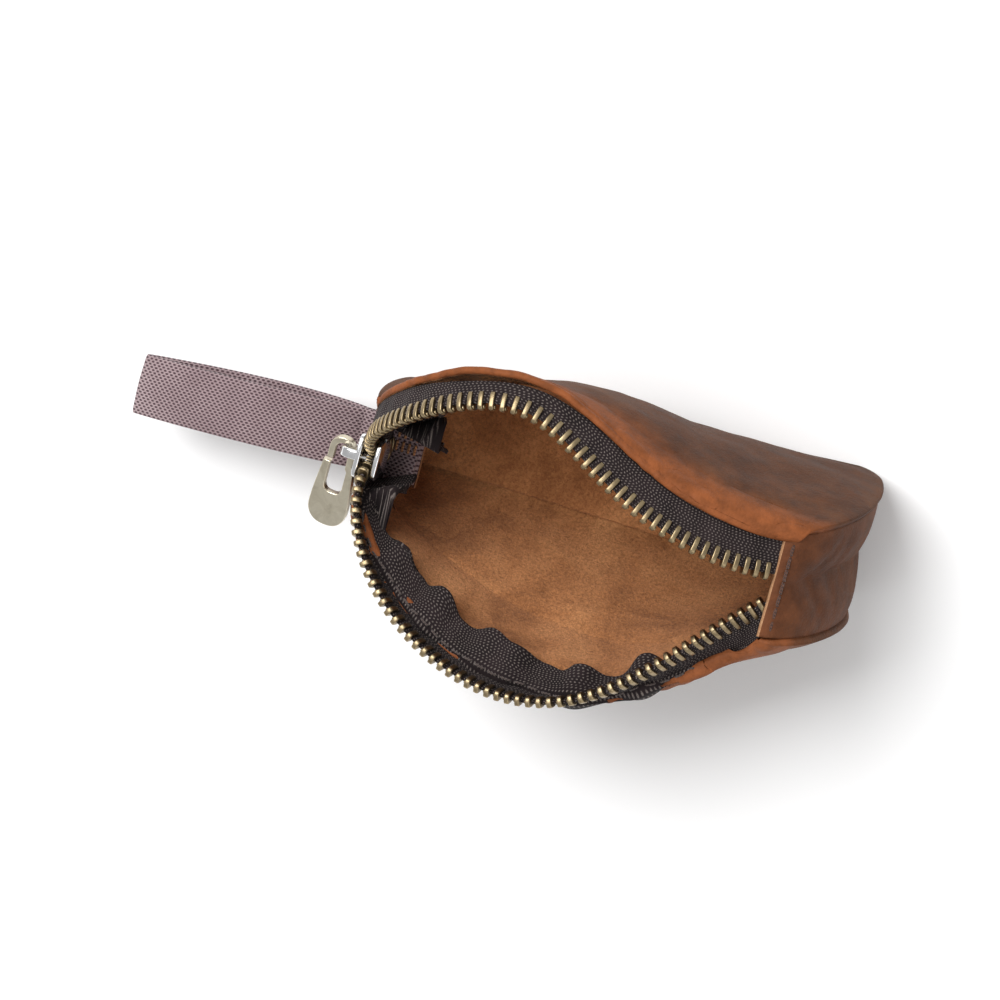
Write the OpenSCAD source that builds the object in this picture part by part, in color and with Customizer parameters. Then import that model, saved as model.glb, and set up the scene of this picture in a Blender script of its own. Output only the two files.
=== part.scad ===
// Zippered leather pouch with a wrist loop, standing on its boxed base with the mouth open.
// Frame: x runs along the zip, y through the thickness, z up. Units are millimetres.

/* [Pouch] */
// Straight distance from the slider to the raw-edged end of the zip
mouth_len = 102.5; // [88:0.5:120]
// How far the back rim bows out from the zip line
back_open = 29; // [20:0.5:36]
// How far the front rim bows out from the zip line
front_open = 39; // [26:0.5:46]
// Height of the zip teeth at the raw-edged end
rim_end_h = 56; // [48:0.5:66]
// Width of the boxed base at the raw-edged end
base_w = 28; // [22:0.5:34]
// Width of the base at the strap end
base_w_left = 17; // [14:0.5:24]
// Distance of the base centre behind the zip line, at the raw-edged end
base_off = 9.5; // [4:0.25:12]
// Distance of the base centre behind the zip line, at the strap end
base_off_left = 3.5; // [0:0.25:7]
// Length of the flat part of the base
base_flat = 102; // [84:0.5:120]
// Outward bulge of the back wall
bulge_back = 6.5; // [2:0.5:12]
// Outward bulge of the front wall
bulge_front = 3; // [0:0.5:6]
// Depth of the bellows fold in the right end
fold_in = 3; // [0:0.25:5]
// How far the right end swells outward beyond the tab
end_swell = 14.5; // [8:0.5:18]
// Leather thickness
leather_t = 1.7; // [1.2:0.1:2.4]

/* [Zip] */
// Distance from tooth to tooth along one tape
pitch = 2.5; // [2.2:0.05:3.2]
// Length of a tooth across the tape
tooth_l = 4.1; // [3.4:0.1:4.8]
// Height of a tooth through the tape
tooth_h = 2.6; // [2.2:0.1:3.2]
// Thickness of a tooth along the tape
tooth_t = 1.15; // [0.9:0.05:1.2]
// How far a tooth head reaches past the meshing line
head_l = 1.1; // [0.8:0.05:1.3]
// Thickness of the woven tape
tape_t = 0.8; // [0.5:0.05:1]
// Width of tape in sight beside the slider
tape_show = 8; // [6.5:0.25:9]
// Width of tape in sight at the raw-edged end
tape_show_end = 10; // [7:0.25:11]
// How much narrower the tape shows where the back rim is highest
tape_dip = 2.4; // [0:0.2:3]
// Depth of tape hidden behind the leather
tape_hidden = 7; // [4:0.5:10]
// Length of chain from its foot to the top of the slider
run_len = 19.75; // [18:0.25:26]

/* [Slider] */
// Length of the slider along the chain
slider_l = 9; // [8:0.25:11]
// Width of the slider at its mouth
slider_w = 10.4; // [9.6:0.2:12]
// Gap between the two plates
plate_gap = 3.3; // [3:0.05:3.8]
// Thickness of each plate
plate_t = 1.2; // [0.9:0.05:1.5]
// Width of the post that parts the rows
post_w = 1.7; // [1.2:0.1:2.2]
// Width of the crown over the outer plate
crown_w = 2; // [1.4:0.1:2.4]
// Thickness of the crown's strip
crown_t = 1.1; // [0.8:0.05:1.4]
// Clear depth under the crown
crown_gap = 3.4; // [2.8:0.05:4]

/* [Puller] */
// Distance from the crown to the foot of the puller
puller_l = 21.2; // [17:0.2:30]
// Widest part of the puller
puller_w = 9.6; // [8:0.2:12]
// Thickness of the puller
puller_t = 1.8; // [1.2:0.1:2.2]
// Width of the puller's slot
puller_slot = 3.3; // [3:0.1:3.8]
// Gap in the side of the hook
puller_gap = 1; // [0.6:0.1:1.6]
// Droop of the puller below the horizontal
puller_droop = 20; // [5:1:24]
// Turn of the puller away from the pouch
puller_turn = 5; // [2:1:40]

/* [Wrist strap] */
// Width of the webbing
strap_w = 14.4; // [10:0.2:15]
// Thickness of one layer of webbing
strap_t = 1.25; // [1:0.05:1.6]
// Length of the loop outside the pouch
strap_l = 55; // [40:1:90]
// Clear height inside the loop at its widest
loop_gap = 8; // [5:0.5:14]
// Sideways lean of the loop's far end
strap_lean = 3.5; // [0:0.25:8]

/* [Stitches] */
// Radius of the sewing thread
thread_r = 0.3; // [0.2:0.05:0.45]
// Length of a seam stitch
stitch_l = 2.3; // [1.6:0.1:3.2]
// Number of bar-tack stitches in each row
tack_n = 4; // [3:1:6]

/* [Hidden] */
$fn = 32;

// Places that everything else is measured from
xz = -50.5;
x_end = xz + mouth_len;
tab_z = 17.8;
run_z0 = tab_z + 2 * strap_t + 0.25;
run_z1 = run_z0 + run_len;
function base_y(side, t) = (base_off_left * (1 - t) + base_off * t)
  + side * (base_w_left * (1 - t) + base_w * t) / 2;
xb0 = xz + 0.5;
xb1 = xb0 + base_flat;
slider_top_gap = 0.2;
slider_z1 = run_z1 - slider_top_gap;
slider_z0 = slider_z1 - slider_l;
strap_z = tab_z;
hinge_x = xz - 7;

// Vector helpers
function unit(v) = v / norm(v);
function bez(c, t) = len(c) == 1 ? c[0]
  : bez([for (i = [0:len(c) - 2]) c[i] * (1 - t) + c[i + 1] * t], t);
function clamp01(x) = min(1, max(0, x));

// How far each row stands off the middle at the top of the slider, past the post
split = post_w / 2 + head_l + 1.35;

// Rim curves: shape factors along x (of mouth_len), y (of the opening) and z (of the rise)
rise = rim_end_h - run_z1;
function ctl(side, fx, fy, fz, w) = [for (i = [0:len(fx) - 1])
  [xz + fx[i] * mouth_len, i == 0 ? side * split : fy[i] * w, run_z1 + fz[i] * rise]];
back_ctl = ctl(1, [0, 0, 0.175, 0.545, 0.29, 0.681, 1],
  [0, 0.341, 0.833, 1.551, 0.869, 0.197, 0.221],
  [0, 0.502, 3.352, 1.491, 1.057, 2.735, 1], back_open);
front_ctl = ctl(-1, [0, 0, 0.089, 0.409, 0.636, 0.715, 1],
  [0, -0.328, -1.03, -1.11, -1.384, -0.649, 0.06],
  [0, 0.474, 0.788, 0.931, 1.115, 0.962, 1], front_open);

// Fine points of each chain line, with running length
run_n = 40;
bez_n = 110;
split_from = slider_z0;
function run_pt(side, z) = [xz,
  side * split * pow(max(0, (z - split_from) / (run_z1 - split_from)), 1.5), z];
function line_pts(side, c) = concat(
  [for (i = [0:run_n - 1]) run_pt(side, run_z0 + run_len * i / run_n)],
  [for (i = [0:bez_n]) bez(c, i / bez_n)]);
function cum(p, i = 1, acc = [0]) = i >= len(p) ? acc
  : cum(p, i + 1, concat(acc, [acc[i - 1] + norm(p[i] - p[i - 1])]));
pts_b = line_pts(1, back_ctl);
pts_f = line_pts(-1, front_ctl);
cum_b = cum(pts_b);
cum_f = cum(pts_f);
len_b = cum_b[len(cum_b) - 1];
len_f = cum_f[len(cum_f) - 1];
function table(c, p, k) = [for (i = [0:len(p) - 1]) [c[i], p[i][k]]];
tab_b = [for (k = [0:2]) table(cum_b, pts_b, k)];
tab_f = [for (k = [0:2]) table(cum_f, pts_f, k)];

// side = 1 is the back, side = -1 the front; s is the length along the chain
function total(side) = side > 0 ? len_b : len_f;
function at(side, s) = side > 0
  ? [lookup(s, tab_b[0]), lookup(s, tab_b[1]), lookup(s, tab_b[2])]
  : [lookup(s, tab_f[0]), lookup(s, tab_f[1]), lookup(s, tab_f[2])];
function tang(side, s) = unit(at(side, min(s + 0.9, total(side))) - at(side, max(s - 0.9, 0)));
function along(side, s) = clamp01((s - run_len) / (total(side) - run_len));
function slope(side, g) = let(m = side > 0 ? 70 : -9 + 55 * clamp01((g - 0.5) / 0.3))
  m + (90 - m) * pow(1 - sin(180 * g), 3);
function lean(side, s) = let(b = slope(side, along(side, s))) [0, side * sin(b), -cos(b)];
// Direction from the teeth into the tape, square to the chain
function dir(side, s) = let(d = lean(side, s), t = tang(side, s)) unit(d - (d * t) * t);
// The same for the tape's own weave, which turns square to the end tab at the right
function weave(side, s) = let(d = lean(side, s), t = tang(side, s),
  k = 1 - clamp01((along(side, s) - 0.85) / 0.15)) unit(d - k * (d * t) * t);
function out(side, s) = let(t = tang(side, s), d = dir(side, s))
  side > 0 ? cross(t, d) : cross(d, t);
function show(side, s) = let(g = along(side, s), dip = side > 0 ? tape_dip : 0)
  tape_show - dip * exp(-pow((g - 0.4) / 0.13, 2)) + (tape_show_end - tape_show) * pow(g, 3);
function rim(side, s) = at(side, s) + show(side, s) * weave(side, s)
  + tape_t / 2 * out(side, s);

// Gusset strip: its outer path in x and z, left end and right end
left_ctl = [[xz - 0.4, 0, tab_z], [xz - 6.5, 0, tab_z + 0.6], [xz - 7.5, 0, tab_z - 6],
  [xz - 8, 0, 0], [xb0, 0, 0]];
end_top = rim_end_h + tape_t / 2 + leather_t;
right_ctl = [[x_end - 0.8, 0, end_top], [x_end + 0.4 * end_swell, 0, end_top + 1],
  [x_end + 1.1 * end_swell, 0, 0.75 * end_top], [x_end + end_swell, 0, 0], [xb1, 0, 0]];
y_top_b = rim(1, len_b)[1];
y_top_f = rim(-1, len_f)[1];
y_low = abs(rim(1, 0)[1]);
function g_left(side, v) = let(p = bez(left_ctl, v), k = clamp01((v - 0.25) / 0.6))
  [p[0], side * y_low * (1 - k) + base_y(side, 0) * k, p[2]];
function g_right(side, v) = let(p = bez(right_ctl, v), k = min(1, v * 1.25))
  [p[0], (side > 0 ? y_top_b : y_top_f) * (1 - k) + base_y(side, 1) * k, p[2]];

// Panels: a surface patch between the rim, the base line and the two ends. The part of the
// rim below s_turn runs up the strap end, so it belongs to the patch's left side.
nt = 46;
nv = 14;
s_turn = run_len + 3;
left_k = s_turn / (s_turn + 1.4 * tab_z);
function rim_s(side, t) = s_turn + (total(side) - s_turn) * t;
function w_left(side, v) = v < left_k
  ? let(u = v / left_k) rim(side, s_turn * (1 - u)) - pow(u, 8) * (rim(side, 0) - g_left(side, 0))
  : g_left(side, (v - left_k) / (1 - left_k));
function w_right(side, v) = g_right(side, v)
  + pow(1 - v, 6) * (rim(side, total(side)) - g_right(side, 0));
function base_pt(side, t) = [xb0 + (xb1 - xb0) * t, base_y(side, t), 0];
function bulge(side) = side > 0 ? bulge_back : bulge_front;
function wall_at(side, t, v) = let(r = rim(side, rim_s(side, t)), b = base_pt(side, t))
  (1 - v) * r + v * b + (1 - t) * w_left(side, v) + t * w_right(side, v)
  - (1 - t) * ((1 - v) * rim(side, s_turn) + v * base_pt(side, 0))
  - t * ((1 - v) * rim(side, total(side)) + v * base_pt(side, 1))
  + [0, side * bulge(side) * pow(max(0, sin(180 * t)), 0.7) * sin(180 * v), 0];
function patch(side) = [for (j = [0:nv]) let(v = pow(j / nv, 1.15))
  [for (i = [0:nt]) wall_at(side, i / nt, v)]];
// Outward normals of a grid, steadied towards y where the grid pinches
function normals(g, side) = let(m = len(g) - 1, n = len(g[0]) - 1)
  [for (j = [0:m]) [for (i = [0:n])
    let(a = g[j][min(i + 1, n)] - g[j][max(i - 1, 0)],
      b = g[min(j + 1, m)][i] - g[max(j - 1, 0)][i],
      c = side > 0 ? cross(a, b) : cross(b, a))
    unit(c / (norm(a) * norm(b) + 0.001) + [0, side * 0.12, 0])]];
wall_b = patch(1);
wall_f = patch(-1);
nrm_b = normals(wall_b, 1);
nrm_f = normals(wall_f, -1);

// A closed skin from an inner grid and an outer grid
function flat(g) = [for (r = g) each r];
module slab(inner, outer) {
  m = len(inner);
  n = len(inner[0]);
  q = m * n;
  top = [for (j = [0:m - 2], i = [0:n - 2]) let(a = j * n + i) each
    [[a, a + 1, a + n + 1], [a, a + n + 1, a + n]]];
  low = [for (f = top) [f[2] + q, f[1] + q, f[0] + q]];
  e1 = [for (i = [0:n - 2]) each [[i + 1, i, i + q], [i + 1, i + q, i + 1 + q]]];
  z = (m - 1) * n;
  e2 = [for (i = [0:n - 2]) let(b = z + i) each [[b, b + 1, b + 1 + q], [b, b + 1 + q, b + q]]];
  e3 = [for (j = [0:m - 2]) let(a = j * n) each [[a, a + n, a + n + q], [a, a + n + q, a + q]]];
  e4 = [for (j = [0:m - 2]) let(a = j * n + n - 1) each [[a + n, a, a + q], [a + n, a + q, a + n + q]]];
  polyhedron(concat(flat(inner), flat(outer)), concat(top, low, e1, e2, e3, e4));
}
function off(g, nm, d) = [for (j = [0:len(g) - 1]) [for (i = [0:len(g[0]) - 1]) g[j][i] + d * nm[j][i]]];

// Nothing of a panel may pass below the base
function lift(g) = [for (r = g) [for (p = r) [p[0], p[1], max(p[2], 0)]]];
module panel(side) {
  g = side > 0 ? wall_b : wall_f;
  nm = side > 0 ? nrm_b : nrm_f;
  if (side > 0) slab(lift(g), lift(off(g, nm, leather_t)));
  else slab(lift(off(g, nm, leather_t)), lift(g));
}

module back_panel() color([0.38, 0.2, 0.1]) panel(1);
module front_panel() color([0.42, 0.23, 0.12]) panel(-1);

// Gusset strip: tab, left end, base, right end with its bellows fold
nw = 12;
ng = 15;
// The bellows: pinched in the middle, swollen on either side of it
function strip_side(a, b, fold, q) = [for (i = [0:nw]) let(u = i / nw)
  a * (1 - u) + b * u - [fold * q * (1 - abs(2 * u - 1) - 0.6 * abs(sin(360 * u))), 0, 0]];
tab_in = 8;
strip_l = concat(
  [for (k = [0:1]) strip_side(g_left(-1, 0) + [tab_in * (1 - k / 2), 0, 0],
    g_left(1, 0) + [tab_in * (1 - k / 2), 0, 0], 0, 0)],
  [for (j = [0:ng]) strip_side(g_left(-1, j / ng), g_left(1, j / ng), 0, 0)]);
strip_r = [for (j = [0:ng]) let(v = 1 - j / ng) strip_side(g_right(-1, v), g_right(1, v),
  fold_in, pow(sin(180 * pow(v, 0.8)), 2))];
strip_g = concat(strip_l, strip_r);
function strip_n(g) = let(m = len(g) - 1) [for (j = [0:m]) [for (i = [0:nw])
  let(a = g[min(j + 1, m)][i] - g[max(j - 1, 0)][i]) unit([-a[2], 0, a[0]])]];
module gusset_strip() color([0.45, 0.25, 0.13]) {
  slab(off(strip_g, strip_n(strip_g), leather_t), strip_g);
}

// Where the woven edge of each tape starts, clear of the post
edge_in = post_w / 2 + 0.2;

// Zip tapes: the width in sight, then the part that hangs behind the leather
// A point of the hidden part, d below the rim: it follows the wall
function hang(side, s, d) = let(r = rim(side, s), w = clamp01((s - s_turn + 5) / 8),
  t = clamp01((s - s_turn) / (total(side) - s_turn)), top = wall_at(side, t, 0),
  h = norm(wall_at(side, t, 1) - top))
  (1 - w) * (r + [d, 0, 0]) + w * (r + wall_at(side, t, d / h) - top);
function tape_grid(side) = let(n = nt, k = total(side))
  concat(
    [for (q = [0, 0.5]) [for (i = [0:n]) let(s = k * i / n, p = at(side, s) + edge_in * dir(side, s)
      + tape_t / 2 * out(side, s)) p * (1 - q) + rim(side, s) * q]],
    [for (q = [0:3]) [for (i = [0:n]) hang(side, k * i / n, q / 3 * tape_hidden)]]);
module tape(side) {
  g = tape_grid(side);
  nm = normals(g, side);
  if (side > 0) slab(off(g, nm, -tape_t), g);
  else slab(g, off(g, nm, -tape_t));
}
module zip_tape_back() color([0.22, 0.18, 0.19]) tape(1);
module zip_tape_front() color([0.22, 0.18, 0.19]) tape(-1);

// How far short of the raw-edged end the rows stop
row_end = 4.1;

// Cord woven into the tape's edge, which the teeth grip
cord_r = 0.62;
cord_k = 8;
module cord(side, s0, s1, n) {
  ring = [for (i = [0:n]) let(s = s0 + (s1 - s0) * i / n, c = at(side, s) + 1.05 * dir(side, s),
    d = dir(side, s), o = out(side, s))
    [for (a = [0:cord_k - 1]) c + cord_r * (cos(360 * a / cord_k) * d + sin(360 * a / cord_k) * o)]];
  sideq = [for (i = [0:n - 1], a = [0:cord_k - 1]) let(b = (a + 1) % cord_k, p = i * cord_k, r = p + cord_k)
    each (side > 0 ? [[p + a, r + a, r + b], [p + a, r + b, p + b]]
      : [[p + a, r + b, r + a], [p + a, p + b, r + b]])];
  cap0 = [for (a = [0:cord_k - 1]) side > 0 ? a : cord_k - 1 - a];
  cap1 = [for (a = [0:cord_k - 1]) n * cord_k + (side > 0 ? cord_k - 1 - a : a)];
  polyhedron(flat(ring), concat(sideq, [cap0, cap1]));
}
cord_from = run_len + 0.3;
module tape_cord_back() color([0.2, 0.16, 0.17]) cord(1, cord_from, len_b - row_end, 76);
module tape_cord_front() color([0.2, 0.16, 0.17]) cord(-1, cord_from, len_f - row_end, 80);
// The part of both cords in the closed chain and inside the slider
module tape_cord_run() color([0.2, 0.16, 0.17]) {
  cord(1, 0.1, run_len, 16);
  cord(-1, 0.1, run_len, 16);
}

// One tooth: x towards the tape, y through it, z along the chain
slot_h = tape_t + 0.1;
tail = tooth_l - head_l;
module tooth(nub) {
  h = tooth_h / 2;
  linear_extrude(tooth_t, center = true)
    polygon([[-head_l, -0.5 * h], [-head_l * 0.6, -h], [tail * 0.5, -h], [tail, -0.7 * h],
      [tail, -slot_h / 2], [0.5, -slot_h / 2], [0.5, slot_h / 2], [tail, slot_h / 2],
      [tail, 0.7 * h], [tail * 0.5, h], [-head_l * 0.6, h], [-head_l, 0.5 * h]]);
  if (nub) translate([-0.35, 0, 0]) cylinder(r = 0.45, h = tooth_t / 2 + 0.3, $fn = 16);
}
module set_tooth(side, s, nub) {
  p = at(side, s);
  d = dir(side, s);
  o = unit(out(side, s) - (out(side, s) * d) * d);
  t = cross(d, o);
  multmatrix([[d[0], o[0], t[0], p[0]], [d[1], o[1], t[1], p[1]], [d[2], o[2], t[2], p[2]],
    [0, 0, 0, 1]]) tooth(nub);
}
// Teeth from the foot of the chain to the top of the slider, then the open rows
function first(side) = 0.9 + (side > 0 ? 0 : pitch / 2);
function run_n_of(side) = floor((run_len - first(side) - tooth_t / 2) / pitch) + 1;
module row(side) {
  from = first(side) + run_n_of(side) * pitch;
  n = floor((total(side) - from - row_end) / pitch);
  step = (total(side) - from - row_end) / n;
  for (i = [0:n]) set_tooth(side, from + i * step, true);
}
module teeth_back() color([0.6, 0.48, 0.28]) row(1);
module teeth_front() color([0.6, 0.48, 0.28]) row(-1);
module teeth_closed_run() color([0.6, 0.48, 0.28]) {
  for (side = [-1, 1], i = [0:run_n_of(side) - 1]) set_tooth(side, first(side) + i * pitch, false);
}

// Slider: x from outer plate to inner plate, y across, z along the closed chain
module plate_outline(w) {
  r = 1.6;
  wl = w * 0.86;
  union() {
    translate([-wl / 2, r]) square([wl, slider_l - 2 * r]);
    translate([-wl / 2 + r, 0]) square([wl - 2 * r, slider_l]);
    for (s = [-1, 1]) translate([s * (wl / 2 - r), r]) circle(r);
    for (s = [-1, 1]) translate([s * (w / 2 - r), slider_l - r]) circle(r);
    translate([-w / 2 + r, slider_l - 2 * r]) square([w - 2 * r, 2 * r]);
  }
}
module plate(x, w) {
  translate([x, 0, slider_z0]) rotate([90, 0, 90])
    linear_extrude(plate_t, center = true) plate_outline(w);
}
plate_x = plate_gap / 2 + plate_t / 2;
lip_h = 1.5;
lip_t = 0.7;
lip_y = tail + 0.75;
module slider_body() color([0.78, 0.78, 0.8]) translate([xz, 0, 0]) {
  plate(-plate_x, slider_w);
  plate(plate_x, slider_w - 1);
  // Turned-in lips that hold the chain between the plates
  for (s = [-1, 1], e = [-1, 1])
    translate([e * (plate_gap / 2 - 0.15), s * (lip_y + lip_t / 2), slider_z0 + 0.25 + lip_h / 2])
      cube([0.9, lip_t, lip_h], center = true);
  // Post that parts the two rows
  translate([0, 0, slider_z1]) rotate([0, 90, 0])
    linear_extrude(plate_gap + 0.4, center = true)
      polygon([[3.4, 0], [2.5, 0.42 * post_w], [1.4, post_w / 2], [0.25, 0], [1.4, -post_w / 2],
        [2.5, -0.42 * post_w]]);
}

// Crown: a bridge on the outer plate that carries the puller
crown_x = xz - plate_gap / 2 - plate_t;
pivot_x = crown_x - crown_gap - crown_t / 2;
crown_z = slider_z0 + slider_l / 2 + 0.2;
crown_h = 8;
win_h = 5.6;
module slider_crown() color([0.82, 0.82, 0.84]) translate([crown_x, 0, crown_z]) rotate([90, 0, 0])
  linear_extrude(crown_w, center = true) difference() {
    union() {
      translate([-crown_gap - crown_t + 1.5, -crown_h / 2]) square([crown_gap + crown_t - 1.5, crown_h]);
      translate([-crown_gap - crown_t, -crown_h / 2 + 1.5]) square([crown_gap + crown_t, crown_h - 3]);
      for (s = [-1, 1]) translate([-crown_gap - crown_t + 1.5, s * (crown_h / 2 - 1.5)]) circle(1.5);
    }
    translate([-crown_gap, -win_h / 2]) square([crown_gap + 1, win_h]);
  }

// Puller: a hook at the top, a slotted plate below; x runs down its length, y across
ring_o = puller_slot / 2 + 1.55;
leg_l = 3.2;
slot_l = 12.2;
foot = puller_l - leg_l - puller_gap;
plate_side = [[0, 0.8], [6, 0.93], [11.5, 1], [foot - 3.4, 0.97], [foot - 1.6, 0.78], [foot - 0.5, 0.45]];
plate_n = len(plate_side);
plate_pts = concat([for (p = plate_side) [p[0], -p[1] * puller_w / 2]], [[foot, 0]],
  [for (i = [0:plate_n - 1]) let(p = plate_side[plate_n - 1 - i]) [p[0], p[1] * puller_w / 2]]);
module puller_shape() difference() {
  union() {
    circle(ring_o);
    translate([0, -ring_o]) square([leg_l + puller_gap + 1, 2 * ring_o]);
    translate([leg_l + puller_gap, 0]) polygon(plate_pts);
  }
  circle(puller_slot / 2);
  translate([0, -puller_slot / 2]) square([leg_l + puller_gap + 2, puller_slot]);
  translate([leg_l + puller_gap + 1, -2.15]) square([slot_l - leg_l - puller_gap - 2.6, 4.3]);
  translate([slot_l - 2.6, -0.55]) square([2.6, 1.1]);
  for (s = [-1, 1]) translate([slot_l - 1.6, s * 0.55]) circle(1.6);
  // The open side of the hook
  translate([leg_l, -puller_w]) square([puller_gap, puller_w - 1]);
}
module puller() color([0.72, 0.66, 0.52]) translate([pivot_x, 0, crown_z])
  rotate([0, 0, -90 - puller_turn]) rotate([0, puller_droop, 0])
    linear_extrude(puller_t, center = true) puller_shape();

// Wrist strap: one length of webbing folded into a loop, both ends sewn into the left end
lay = 2 * strap_t + 0.1;
module strap_anchor() color([0.45, 0.3, 0.32]) {
  for (k = [0, 1]) translate([hinge_x, -strap_w / 2, strap_z + k * (strap_t + 0.1)])
    cube([xz + 7 - hinge_x, strap_w, strap_t]);
}
// Room for the webbing to bend at the root
root_gap = 1;
// Centre line of the loop: 0 at the lower root, 1 at the upper root
strap_n = 44;
function loop_mid(t) = let(a = t < 0.5 ? t * 2 : 2 - 2 * t, s = t < 0.5 ? -1 : 1,
  x = strap_l * (1 - pow(1 - a, 1.7)), f = clamp01(x / strap_l),
  h = loop_gap / 2 * pow(sin(180 * pow(f, 0.8)), 0.9))
  [-x, 0, s * (a >= 1 ? 0 : (strap_t / 2 + 0.05) * (1 - pow(f, 9)) + h)];
loop_pts = [for (i = [0:strap_n]) loop_mid(i / strap_n)];
function loop_nrm(i) = let(d = loop_pts[min(i + 1, strap_n)] - loop_pts[max(i - 1, 0)])
  i == 0 || i == strap_n ? [0, 0, i == 0 ? 1 : -1] : unit([d[2], 0, -d[0]]);
function loop_row(i, k, e) = let(p = loop_pts[i] + e * strap_t / 2 * loop_nrm(i))
  [hinge_x - root_gap + p[0] * (1 - root_gap / strap_l),
    (k * 2 - 1) * strap_w / 2 - strap_lean * pow(abs(p[0]) / strap_l, 1.3), strap_z + lay / 2 + p[2]];
module wrist_loop() color([0.45, 0.3, 0.32])
  slab([for (k = [0, 1]) [for (i = [0:strap_n]) loop_row(i, k, 1)]],
    [for (k = [0, 1]) [for (i = [0:strap_n]) loop_row(i, k, -1)]]);

// Bar tacks: two rows of short stitches through the strap ends
module strap_bar_tacks() color([0.65, 0.32, 0.15]) {
  for (r = [0, 1], k = [0:tack_n - 1])
    translate([xz + 1.6 + k * 1.5, 1.2 + r * 3.2, strap_z + lay + 0.02])
      rotate([90, 0, 0]) cylinder(r = thread_r, h = 2.2, center = true, $fn = 16);
}

// Row of stitches across the raw-edged tab
module end_stitches() color([0.36, 0.2, 0.12]) {
  n = floor((y_top_b - y_top_f - 3) / (stitch_l + 0.7));
  for (i = [0:n - 1]) let(y = (y_top_b + y_top_f) / 2 + (i - (n - 1) / 2) * (stitch_l + 0.7))
    translate([x_end + 1.2, y, bez(right_ctl, 0.085)[2] + 0.12])
      rotate([90, 0, 0]) cylinder(r = thread_r, h = stitch_l, center = true, $fn = 16);
}

// Seam stitches that hold each tape to its panel, on the tape's inner face
module seam(side) {
  g = tape_grid(side);
  nm = normals(g, side);
  k = total(side);
  n = floor((k - run_len - 10) / (stitch_l + 1.2));
  for (i = [0:n - 1]) {
    s = (run_len + 6 + i * (stitch_l + 1.2)) / k * nt;
    a = floor(s);
    w = s - a;
    p = g[3][a] * (1 - w) + g[3][a + 1] * w - (tape_t + 0.05) * nm[3][a];
    t = unit(g[3][a + 1] - g[3][a]);
    translate(p) rotate([0, acos(t[2]), atan2(t[1], t[0])])
      cylinder(r = thread_r, h = stitch_l, center = true, $fn = 16);
  }
}
module seam_stitches_back() color([0.55, 0.36, 0.3]) seam(1);
module seam_stitches_front() color([0.55, 0.36, 0.3]) seam(-1);

// The middle of the whole part's box goes to x = 0, y = 0
function ys(g) = [for (r = g) for (p = r) p[1]];
outer_b = off(wall_b, nrm_b, leather_t);
outer_f = off(wall_f, nrm_f, leather_t);
x_min = hinge_x - strap_l - strap_t / 2;
x_max = max([for (g = [strip_r, outer_b, outer_f]) for (r = g) for (p = r) p[0]]);
y_max = max(ys(outer_b));
y_min = min(concat(ys(outer_f), [for (p = pts_f) p[1] - tooth_h / 2]));
shift = [-(x_min + x_max) / 2, -(y_min + y_max) / 2, 0];

translate(shift) {
  back_panel();
  front_panel();
  gusset_strip();
  zip_tape_back();
  zip_tape_front();
  tape_cord_back();
  tape_cord_front();
  tape_cord_run();
  teeth_back();
  teeth_front();
  teeth_closed_run();
  slider_body();
  slider_crown();
  puller();
  strap_anchor();
  wrist_loop();
  strap_bar_tacks();
  end_stitches();
  seam_stitches_back();
  seam_stitches_front();
}
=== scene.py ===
import bpy
import bmesh
import math
import numpy as np
from mathutils import Vector, Matrix, noise


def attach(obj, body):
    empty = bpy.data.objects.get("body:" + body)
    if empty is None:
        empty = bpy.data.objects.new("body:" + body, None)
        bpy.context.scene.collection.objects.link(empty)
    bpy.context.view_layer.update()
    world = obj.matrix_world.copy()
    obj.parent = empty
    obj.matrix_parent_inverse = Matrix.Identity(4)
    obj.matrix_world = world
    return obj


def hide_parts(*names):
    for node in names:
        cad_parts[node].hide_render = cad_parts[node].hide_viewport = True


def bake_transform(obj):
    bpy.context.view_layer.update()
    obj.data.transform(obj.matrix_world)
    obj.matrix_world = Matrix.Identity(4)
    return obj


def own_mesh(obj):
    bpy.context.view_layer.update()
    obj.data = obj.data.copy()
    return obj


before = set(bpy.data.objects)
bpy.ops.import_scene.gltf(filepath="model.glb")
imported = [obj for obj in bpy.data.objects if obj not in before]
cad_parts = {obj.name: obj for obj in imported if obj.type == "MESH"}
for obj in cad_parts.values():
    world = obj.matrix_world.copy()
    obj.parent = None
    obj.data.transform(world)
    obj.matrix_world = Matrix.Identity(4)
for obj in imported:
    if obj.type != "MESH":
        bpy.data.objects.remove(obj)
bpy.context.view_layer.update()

MM = 0.001
# The pouch's own place in the shared frame, read off the strap's anchor
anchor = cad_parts["strap_anchor"]
pts = np.array([list(anchor.matrix_world @ v.co) for v in anchor.data.vertices]) / MM
SHIFT = np.array([pts[:, 0].max() + 43.5, (pts[:, 1].min() + pts[:, 1].max()) / 2, 0.0])

# ---------------------------------------------------------------- camera
RIGHT = np.array([0.9341, 0.2550, -0.2500])
UP = np.array([-0.2961, 0.9444, -0.1431])
RIGHT = RIGHT / np.linalg.norm(RIGHT)
UP = UP - UP @ RIGHT * RIGHT
UP = UP / np.linalg.norm(UP)
BACK = np.cross(RIGHT, UP)
FAR = 1500.0
SCALE = 4.35
mark = np.array([-52.0, 0.0, 36.0]) + SHIFT
aim = mark + (500 - 365) / SCALE * RIGHT - (500 - 455) / SCALE * UP
cam_data = bpy.data.cameras.new("cam")
cam = bpy.data.objects.new("cam", cam_data)
bpy.context.scene.collection.objects.link(cam)
bpy.context.scene.camera = cam
cam_data.sensor_width = 36
cam_data.lens = SCALE * FAR * 36 / 1000
cam_data.clip_start = 0.05
cam_data.clip_end = 50
m = Matrix.Identity(4)
for k in range(3):
    m[k][0], m[k][1], m[k][2] = RIGHT[k], UP[k], BACK[k]
    m[k][3] = (aim[k] + FAR * BACK[k]) * MM
cam.matrix_world = m

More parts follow.
